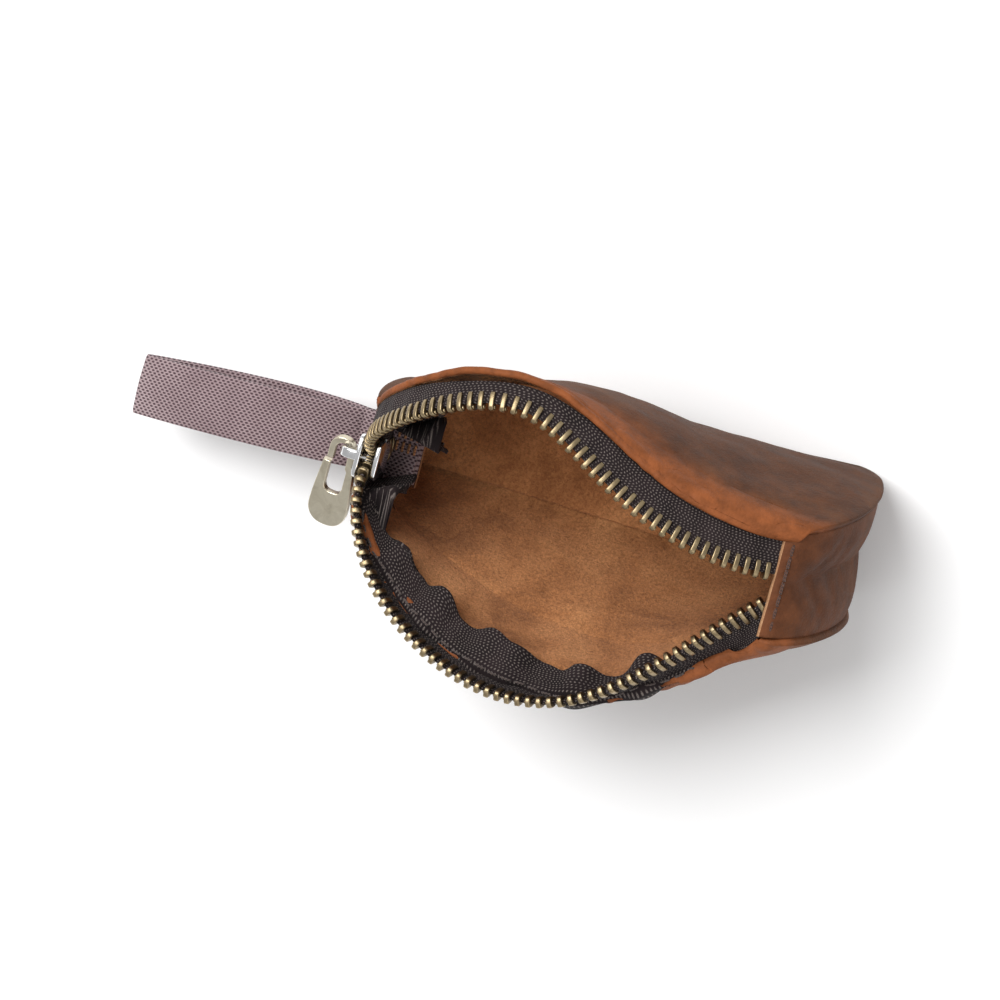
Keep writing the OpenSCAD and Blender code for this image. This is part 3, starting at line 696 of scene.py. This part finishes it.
# ---------------------------------------------------------------- gusset strip
def gusset():
    nw = 48
    u = np.linspace(0, 1, nw + 1)

    def side_line(a, b, fold, q):
        p = a * (1 - u)[:, None] + b * u[:, None]
        p[:, 0] -= fold * q * (1 - np.abs(2 * u - 1) - .6 * np.abs(np.sin(2 * np.pi * u)))
        return p
    rows = []
    vl = np.linspace(0, 1, 46)
    L0, L1 = g_left(-1, vl), g_left(1, vl)
    for k in np.linspace(8, 0, 9)[:-1]:
        rows.append(side_line(L0[0] + [k, 0, 0], L1[0] + [k, 0, 0], 0, 0))
    rows += [side_line(a, b, 0, 0) for a, b in zip(L0, L1)]
    vr = np.linspace(1, 0, 90)
    R0, R1 = g_right(-1, vr), g_right(1, vr)
    for x in np.linspace(0, 1, 22)[1:-1]:
        a = L0[-1] * (1 - x) + R0[0] * x
        b = L1[-1] * (1 - x) + R1[0] * x
        rows.append(side_line(a, b, 0, 0))
    for a, b, v in zip(R0, R1, vr):
        rows.append(side_line(a, b, FOLD_IN, math.sin(math.pi * v ** 0.8) ** 2))
    g = np.array(rows)
    tg = np.gradient(g, axis=0)
    n = unit(np.stack([-tg[..., 2], 0 * tg[..., 0], tg[..., 0]], -1))
    soft = (0.5 * fbm(g, 15, 2, 2.2) + 0.25 * fbm(g, 6, 2, 4.0)) * np.clip((g[..., 2] - 3) / 8, 0, 1)
    mid = np.clip(4 * u * (1 - u), 0, 1)[None]
    # Creases that spread from the top corners of the right end
    right = (g[..., 0] > X_END - 4)
    zz = g[..., 2]
    upper = -0.6 * np.exp(-((zz - 47 + 3 * np.cos(2 * np.pi * u)[None]) / 1.8) ** 2)
    crease = right * (upper - 0.5 * np.exp(-((zz - 38 - 4 * u[None]) / 2.2) ** 2))
    g = g - (soft + crease)[..., None] * n * mid[..., None]
    inner = g + LEATHER * n
    k = len(g)
    run = np.concatenate([[0], np.cumsum(np.linalg.norm(np.diff(g[:, nw // 2], axis=0), axis=1))])
    dist = np.repeat((run[-1] - run)[:, None], nw + 1, 1)
    # Painted highlight on the strip: paler towards its raw end at the top of the right end, and along its two
    # edges there
    pull_and_rim_light = np.exp(-dist / 9) * 0.5 + 0.35 * (np.abs(2 * u - 1) ** 6)[None] * (dist < 60)
    uv = np.stack([np.repeat(u[None] * 31, k, 0), dist], -1)
    # Row order is turned round so that the rolled first row is the raw-edged end
    ob = shell("skin_gusset_strip", inner[::-1], g[::-1], [M_STRIP, M_SUEDE, M_RAW], 2, 2, 2, 0,
               uv[::-1], {"pull_and_rim_light": pull_and_rim_light[::-1]})
    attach(ob, "pouch")
    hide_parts("gusset_strip")


gusset()


# ---------------------------------------------------------------- zip tapes
def hang(side, s, d):
    """Points of the tape's hidden part, a depth d below the rim."""
    row = ROWS[side]
    r = row.rim(s)
    w = np.clip((s - S_TURN + 5) / 8, 0, 1)[:, None]
    t = np.clip((s - S_TURN) / (row.len - S_TURN), 0, 1)
    top = wall_at(side, t, 0 * t)
    h = np.linalg.norm(wall_at(side, t, 0 * t + 1) - top, axis=1)
    a = r + np.stack([d, 0 * d, 0 * d], -1)
    return (1 - w) * a + w * (r + wall_at(side, t, d / h) - top)


def tape_grid(side, n, ruffle=1.0, low_rows=15):
    row = ROWS[side]
    s = np.linspace(0, row.len, n)
    rows, ws = [], []
    p0 = row.at(s) + TAPE_IN * row.dir(s) + TAPE / 2 * row.out(s)
    r = row.rim(s)
    show = row.show(s)
    for q in np.linspace(0, 1, 9)[:-1]:
        w = 0.2 * ruffle * np.sin(np.pi * q) * np.sin(s * 2 * np.pi / 7.7 + 0.7)
        rows.append(p0 * (1 - q) + r * q + w[:, None] * row.out(s))
        ws.append(TAPE_IN + q * (show - TAPE_IN))
    ends = np.clip(np.minimum(s, row.len - s) / 6, 0, 1)
    g_al = row.along(s)
    most, at, wide, least = (9.0, .14, .20, 2.5) if side > 0 else (4.0, .35, .35, 1.0)
    extra = most * np.exp(-((g_al - at) / wide) ** 2) + least
    length = HIDDEN + ruffle * (extra + 0.5 * np.sin(s / 6.1) + 0.35 * np.sin(s / 2.3)) * ends
    for q in np.linspace(0, 1, low_rows):
        rows.append(hang(side, s, length * q))
        ws.append(show + length * q)
    g = np.array(rows)
    n1 = grid_normals(g, side)
    q = np.concatenate([np.zeros(8), np.linspace(0, 1, low_rows)])[:, None]
    big = 2.9 if side < 0 else 2.0
    wave = 1.25 + 0.75 * np.sin(s * 2 * np.pi / 19.0 + 0.9 * np.sin(s / 9))
    wave = wave + 0.18 * np.sin(s * 2 * np.pi / 8.3)
    rise = np.concatenate([np.linspace(0, 1, 9)[:-1] ** 2, np.ones(low_rows)])[:, None]
    g = g - (0.25 * rise * ends[None] + ruffle * big * (wave * ends)[None] * q ** 1.1)[..., None] * n1
    return g, np.stack([np.repeat(s[None], len(g), 0), np.array(ws)], -1)


def tape(side, name):
    g, uv = tape_grid(side, 700)
    inner = g - TAPE * grid_normals(g, side)
    ob = shell(name, inner, g, [M_TAPE, M_TAPE], 2, 0, 0, 0, uv)
    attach(ob, "pouch")
    word = "back" if side > 0 else "front"
    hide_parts("zip_tape_" + word)


tape(1, "weave_tape_back")
tape(-1, "weave_tape_front")


# ---------------------------------------------------------------- teeth
def tooth_mesh(nub):
    h, tail = TOOTH_H / 2, TOOTH_L - HEAD
    slot = (TAPE + .1) / 2
    upper = [[.5, slot], [tail, slot], [tail, .66 * h], [tail * .7, .92 * h], [tail * .35, h],
             [-HEAD * .2, h], [-HEAD * .72, .86 * h], [-HEAD, .45 * h]]
    poly = [[x, -y] for x, y in upper[::-1]] + upper
    parts = [bevelled(poly, TOOTH_T, .24, 3)]
    if nub:
        k = 14
        ring = np.array([[math.cos(a), math.sin(a)] for a in np.linspace(0, 2 * np.pi, k + 1)[:-1]])
        levels = ((1, -.1), (1, .12), (.75, .26), (.3, .32))
        v = [[-.35 + .46 * r * x, .46 * r * y, TOOTH_T / 2 + z] for r, z in levels for x, y in ring]
        f = [[a * k + i, a * k + (i + 1) % k, (a + 1) * k + (i + 1) % k, (a + 1) * k + i]
             for a in range(3) for i in range(k)]
        f.append([3 * k + i for i in range(k)])
        parts.append((np.array(v), f))
    return merge(parts)


def teeth(name, places, nub, nodes):
    v, f = tooth_mesh(nub)
    parts = []
    for side, s in places:
        row = ROWS[side]
        p, d, o = one(row.at, s), one(row.dir, s), one(row.out, s)
        o = unit(o - (o @ d) * d)
        z = np.cross(d, o)
        parts.append((p + v[:, :1] * d + v[:, 1:2] * o + v[:, 2:3] * z, f))
    vv, ff = merge(parts)
    ob = make(name, vv, ff, [M_TEETH])
    ob.data.set_sharp_from_angle(angle=math.radians(50))
    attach(ob, "pouch")
    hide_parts(*nodes)
    return ob


run_places = []
for side, word in ((1, "back"), (-1, "front")):
    ln = ROWS[side].len
    first = .9 + (0 if side > 0 else PITCH / 2)
    num = math.floor((RUN - first - TOOTH_T / 2) / PITCH) + 1
    run_places += [(side, first + i * PITCH) for i in range(num)]
    start = first + num * PITCH
    k = math.floor((ln - start - ROW_END) / PITCH)
    step = (ln - start - ROW_END) / k
    teeth("brass_teeth_" + word, [(side, start + i * step) for i in range(k + 1)], True, ["teeth_" + word])


def shorten(ob):
    """The closed chain gets shorter as the slider goes down it; here its object only gets its own copy of its
    mesh.
    """
    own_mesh(ob)


shorten(teeth("brass_teeth_run", run_places, False, ["teeth_closed_run"]))


def cord(name, spans, node):
    """The woven cord that the teeth grip, with its yarns wound round it."""
    parts, uvs = [], []
    for side, a, b in spans:
        row = ROWS[side]
        s = np.linspace(a, b, int((b - a) * 9))
        c = row.at(s) + CORD_IN * row.dir(s)
        ang = np.linspace(0, 2 * np.pi, 17)[:-1]
        rad = 0.60 + 0.05 * np.cos(5 * ang[None] + s[:, None] * 4.0)
        d, o = row.dir(s), row.out(s)
        way = np.cos(ang)[None, :, None] * d[:, None] + np.sin(ang)[None, :, None] * o[:, None]
        v = c[:, None] + rad[..., None] * way
        n, k = rad.shape
        f = [[i * k + j, i * k + (j + 1) % k, (i + 1) * k + (j + 1) % k, (i + 1) * k + j]
             for i in range(n - 1) for j in range(k)]
        f += [list(range(k - 1, -1, -1)), [(n - 1) * k + j for j in range(k)]]
        parts.append((v.reshape(-1, 3), f))
        uvs += [[x, w * .24] for x in s for w in range(16)]
    vv, ff = merge(parts)
    ob = make(name, vv, ff, [M_TAPE], uvs=uvs)
    fix_normals(ob)
    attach(ob, "pouch")
    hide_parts(node)
    return ob


cord("woven_cord_back", [(1, RUN + .3, ROWS[1].len - 2)], "tape_cord_back")
cord("woven_cord_front", [(-1, RUN + .3, ROWS[-1].len - 2)], "tape_cord_front")
shorten(cord("woven_cord_run", [(1, .1, RUN), (-1, .1, RUN)], "tape_cord_run"))


# ---------------------------------------------------------------- slider, crown and puller
def place_x(v, x, z0):
    """Turns plate coordinates (across, along, through) into x through, y across, z along."""
    return np.stack([x + v[:, 2], v[:, 0], z0 + v[:, 1]], -1)


def plate_outline(w):
    out = []
    lo, r = w * .86 / 2, 1.9
    for a in np.linspace(180, 270, 8):
        out.append([-lo + r + r * math.cos(math.radians(a)), r + r * math.sin(math.radians(a))])
    for a in np.linspace(270, 360, 8):
        out.append([lo - r + r * math.cos(math.radians(a)), r + r * math.sin(math.radians(a))])
    hi = w / 2
    out += [[lo, SL_L * .45], [lo + (hi - lo) * .6, SL_L * .58], [hi, SL_L * .72]]
    c = 1.7
    for a in np.radians(np.linspace(0, 80, 7)):
        out.append([hi - c + c * math.cos(a), SL_L - c + c * math.sin(a) - .1])
    out.append([0, SL_L])
    for a in np.radians(np.linspace(100, 180, 7)):
        out.append([-hi + c + c * math.cos(a), SL_L - c + c * math.sin(a) - .1])
    out += [[-hi, SL_L * .72], [-lo - (hi - lo) * .6, SL_L * .58], [-lo, SL_L * .45]]
    return out


px = GAP / 2 + PLATE / 2
parts = []
for x, w in ((-px, SL_W), (px, SL_W - 1)):
    v, f = bevelled(plate_outline(w), PLATE, .38, 4)
    parts.append((place_x(v, XZ + x, SZ0), f))
lip = TOOTH_L - HEAD + .75 + .35
for a in (-1, 1):
    for e in (-1, 1):
        v, f = bevelled(round_box(.7, 1.5, .2), .9, .12, 2)
        parts.append((place_x(v + [a * lip, 1.0, 0], XZ + e * (GAP / 2 - .15), SZ0), f))
h = POST / 2
post = [[0, -3.4], [.42 * POST, -2.5], [h, -1.4], [.3, -.45], [0, -.25],
        [-.3, -.45], [-h, -1.4], [-.42 * POST, -2.5]]
v, f = bevelled(post, GAP + .4, .1, 2)
parts.append((place_x(v + [0, SL_L, 0], XZ, SZ0), f))
vv, ff = merge(parts)
ob = make("chrome_slider", vv, ff, [M_SLIDER])
ob.data.set_sharp_from_angle(angle=math.radians(45))
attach(ob, "slider")
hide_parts("slider_body")

crown_x = XZ - GAP / 2 - PLATE
pivot_x = crown_x - CR_GAP - CR_T / 2
crown_z = SZ0 + SL_L / 2 + .2
cz, cx = 8 / 2 - CR_T / 2, CR_GAP + CR_T / 2
arch = []
for q in np.linspace(0, 1, 70):
    a = math.pi * (q - .5)
    e = 2 / 3.4
    x = -cx * abs(math.cos(a)) ** e
    z = cz * math.copysign(abs(math.sin(a)) ** e, math.sin(a))
    arch.append([crown_x + x + .25, 0, crown_z + z])
arch = np.array(arch)
seg = np.concatenate([[0], np.cumsum(np.linalg.norm(np.diff(arch, axis=0), axis=1))])
ss = np.linspace(0, seg[-1], 64)
arch = np.stack([np.interp(ss, seg, arch[:, i]) for i in range(3)], -1)
sec = round_box(CR_W * 1.15, CR_T, .42, 5)
vv, ff = sweep(arch, sec, [0, 1, 0])
ob = make("chrome_crown", vv, ff, [M_SLIDER])
fix_normals(ob)
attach(ob, "slider")
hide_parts("slider_crown")


def puller():
    """The plate lies along x: the hook round the crown first, then the body with its long window."""
    ro, ri, leg, w = PU_SLOT / 2 + 1.55, PU_SLOT / 2, 3.2, PU_W / 2
    top = leg + PU_GAP
    toe, win_end, win_r, win_h = 4.8, 12.2, 2.1, 2.15
    c = win_end - win_r

    def arc(r, a, b, n):
        return [[r * math.cos(q), r * math.sin(q)] for q in np.radians(np.linspace(a, b, n))]
    out = [[leg, -ro], [leg * .5, -ro]] + arc(ro, 270, 90, 26)
    out += [[leg * .6, ro], [top - .5, ro + .05], [top + .1, w * .78], [top + 1.6, w * .83]]
    out += [[top + 6, w * .93], [top + 9, w * .975], [top + 11.5, w]]
    bend = np.linspace(0.12, np.pi / 2 - .02, 12)
    out += [[PU_L - toe + toe * math.sin(a), w * math.cos(a) ** .8] for a in bend] + [[PU_L, 0]]
    bend = np.linspace(np.pi / 2 - .02, 0.12, 12)
    out += [[PU_L - toe + toe * math.sin(a), -w * math.cos(a) ** .8] for a in bend]
    out += [[top + 11.5, -w], [top + 9, -w * .975], [top + 6, -w * .93]]
    out += [[top + 1.6, -w * .83], [top, -w * .8], [top, -2.0], [top + .5, -win_h]]
    bend = np.linspace(0, np.pi / 2, 9)[:-1]
    out += [[c + win_r * math.sin(a), -win_h * math.cos(a) ** .6] for a in bend] + [[win_end, 0]]
    bend = np.linspace(np.pi / 2, 0, 9)[1:]
    out += [[c + win_r * math.sin(a), win_h * math.cos(a) ** .6] for a in bend]
    out += [[top + 1.4, win_h], [top + .6, ri], [leg * .5, ri]] + arc(ri, 90, 270, 20)
    out += [[leg * .5, -ri], [leg, -ri]]
    v, f = bevelled(out[::-1], PU_T, .3, 4)
    d, r = math.radians(DROOP), math.radians(-90 - TURN)
    x = v[:, 0] * math.cos(d) + v[:, 2] * math.sin(d)
    z = -v[:, 0] * math.sin(d) + v[:, 2] * math.cos(d)
    q = np.stack([x * math.cos(r) - v[:, 1] * math.sin(r) + pivot_x,
                  x * math.sin(r) + v[:, 1] * math.cos(r), z + crown_z], -1)
    ob = make("plated_puller", q, f, [M_PULLER])
    ob.data.set_sharp_from_angle(angle=math.radians(45))
    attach(ob, "puller")
    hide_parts("puller")


puller()


# ---------------------------------------------------------------- wrist strap
def strap():
    n = 420
    t = np.linspace(0, 1, n)
    a = np.where(t < .5, t * 2, 2 - 2 * t)
    sg = np.where(t < .5, -1, 1)
    x = ST_L * (1 - (1 - a) ** 1.7)
    f = np.clip(x / ST_L, 0, 1)
    h = LOOP / 2 * np.sin(np.pi * f ** .8).clip(0) ** .9
    z = sg * (ST_T / 2 + .05) * np.sqrt(np.clip(1 - f ** 9, 0, 1)) + sg * h
    px_ = HINGE - 1 - x * (1 - 1 / ST_L)
    loop = np.stack([px_, 0 * x, z], -1)
    inx = np.linspace(XZ + 7, HINGE - .9, 60)
    lower = np.stack([inx, 0 * inx, 0 * inx - ST_T / 2 - .05], -1)
    upper = lower[::-1] * [1, 1, -1]
    path = np.vstack([lower[:-1], loop, upper[1:]])
    c = np.concatenate([[0], np.cumsum(np.linalg.norm(np.diff(path, axis=0), axis=1))])
    s = np.linspace(0, c[-1], 700)
    path = np.stack([np.interp(s, c, path[:, i]) for i in range(3)], -1)
    for _ in range(6):
        path[1:-1] = (path[:-2] + 2 * path[1:-1] + path[2:]) / 4
    tg = unit(np.gradient(path, axis=0))
    nm = np.stack([tg[:, 2], 0 * s, -tg[:, 0]], -1)
    w = 64
    q = np.linspace(-1, 1, w)
    lean = -LEAN * (np.clip(HINGE - path[:, 0], 0, 99) / ST_L) ** 1.3
    cz0 = TAB_Z + ST_T + .05
    sag = 0.25 * np.cos(q * np.pi)[None] * np.sin(s / 17)[:, None]
    half = ST_T / 2 * (1 - np.abs(q) ** 14 * .45)
    grids = []
    for e in (1, -1):
        p = path[:, None] + (e * half[None, :, None] + sag[..., None] * .5) * nm[:, None]
        p = p + np.stack([0 * q, q * ST_W / 2, 0 * q], -1)[None]
        p[..., 1] += lean[:, None]
        p[..., 2] += cz0
        grids.append(p)
    uv = np.stack([np.repeat(s[:, None], w, 1), np.repeat((q * ST_W / 2 + 20)[None], 700, 0)], -1)
    ob = shell("webbing_strap", grids[0], grids[1], [M_WEB, M_WEB], 2, 0, 0, 0, uv)
    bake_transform(ob)
    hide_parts("strap_anchor", "wrist_loop")


strap()


# ---------------------------------------------------------------- stitches
def stitches(name, spots, r, length, mat, node, bow=0.35):
    """Short arched threads. Each spot is (middle, direction, outward)."""
    ring = np.array([[r * math.cos(a), r * math.sin(a)] for a in np.linspace(0, 2 * np.pi, 11)[:-1]])
    parts, uvs = [], []
    for p, d, o in spots:
        q = np.linspace(-1, 1, 13)
        path = np.array([p + d * (x * length / 2) + o * (bow * (1 - abs(x) ** 2.4) - .25) for x in q])
        parts.append(sweep(path, ring, o))
        uvs += [[x * length / 2 + 5, j / 10] for x in q for j in range(10)]
    vv, ff = merge(parts)
    ob = make(name, vv, ff, [mat], uvs=uvs)
    fix_normals(ob)
    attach(ob, "pouch")
    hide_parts(node)


Y, Z = np.eye(3)[1:]
top = TAB_Z + 2 * ST_T + .1
tacks = [np.array([XZ + 1.6 + k * 1.5, 1.2 + r * 3.2, top + .05]) for r in (0, 1) for k in range(4)]
stitches("thread_bar_tacks", [(p, Y, Z) for p in tacks], .33, 2.3, M_TACK, "strap_bar_tacks")
ctop = bez(RIGHT_END, np.array([.085]))[0]
span = Y_TOP[1] - Y_TOP[-1]
k = math.floor((span - 3) / 3.0)
middle = (Y_TOP[1] + Y_TOP[-1]) / 2
ends = [np.array([X_END + 1.2, middle + (i - (k - 1) / 2) * 3.0, ctop[2] + .05]) for i in range(k)]
stitches("thread_end_row", [(p, Y, Z) for p in ends], .34, 2.5, M_END, "end_stitches")
for side, word in ((1, "back"), (-1, "front")):
    row = ROWS[side]
    num = math.floor((row.len - RUN - 10) / 3.5)
    n = 3000
    g, _ = tape_grid(side, n, 1.0, 4)
    nm = grid_normals(g, side)
    spots = []
    for i in range(num):
        x = RUN + 6 + i * 3.5
        j = int(x / row.len * (n - 1))
        p = g[9, j]
        spots.append((p - (TAPE + .12) * nm[9, j], unit(g[9, j + 12] - g[9, j - 12]), -nm[9, j]))
    stitches("thread_seam_" + word, spots, .25, 2.3, M_SEAM, "seam_stitches_" + word)

# ---------------------------------------------------------------- floor and light
me = bpy.data.meshes.new("floor")
R = 6.0
me.from_pydata([(-R, -R, 0), (R, -R, 0), (R, R, 0), (-R, R, 0)], [], [(0, 1, 2, 3)])
floor = bpy.data.objects.new("floor", me)
bpy.context.scene.collection.objects.link(floor)
fq = Mat("floor")
fn = fq.noise(fq.obj(), 3, 2, 0.4)
fq.to(Base_Color=fq.ramp(fn, [(0.3, (0.90, 0.90, 0.90)), (0.7, (0.93, 0.93, 0.93))]))
fq.set(Roughness=1.0, Specular_IOR_Level=0.0)
me.materials.append(fq.m)
world = bpy.data.worlds.new("studio")
bpy.context.scene.world = world
world.use_nodes = True
world.node_tree.nodes["Background"].inputs[0].default_value = (1, 1, 1, 1)
world.node_tree.nodes["Background"].inputs[1].default_value = 0.52


def area(name, pos, look, size, power):
    d = bpy.data.lights.new(name, "AREA")
    d.shape = "RECTANGLE"
    d.size, d.size_y = size
    d.energy = power
    o = bpy.data.objects.new(name, d)
    bpy.context.scene.collection.objects.link(o)
    o.location = pos
    o.rotation_mode = "QUATERNION"
    o.rotation_quaternion = (Vector(look) - Vector(pos)).to_track_quat("-Z", "Y")
    return o


area("key", (-0.36, 0.42, 0.95), (0, 0, 0.02), (0.75, 0.75), 13.0)
area("fill", (0.7, -0.5, 0.8), (0, 0, 0.02), (0.9, 0.9), 3.0)
sc = bpy.context.scene
sc.view_settings.view_transform = "Standard"
sc.view_settings.look = "None"
sc.view_settings.exposure = 0.0
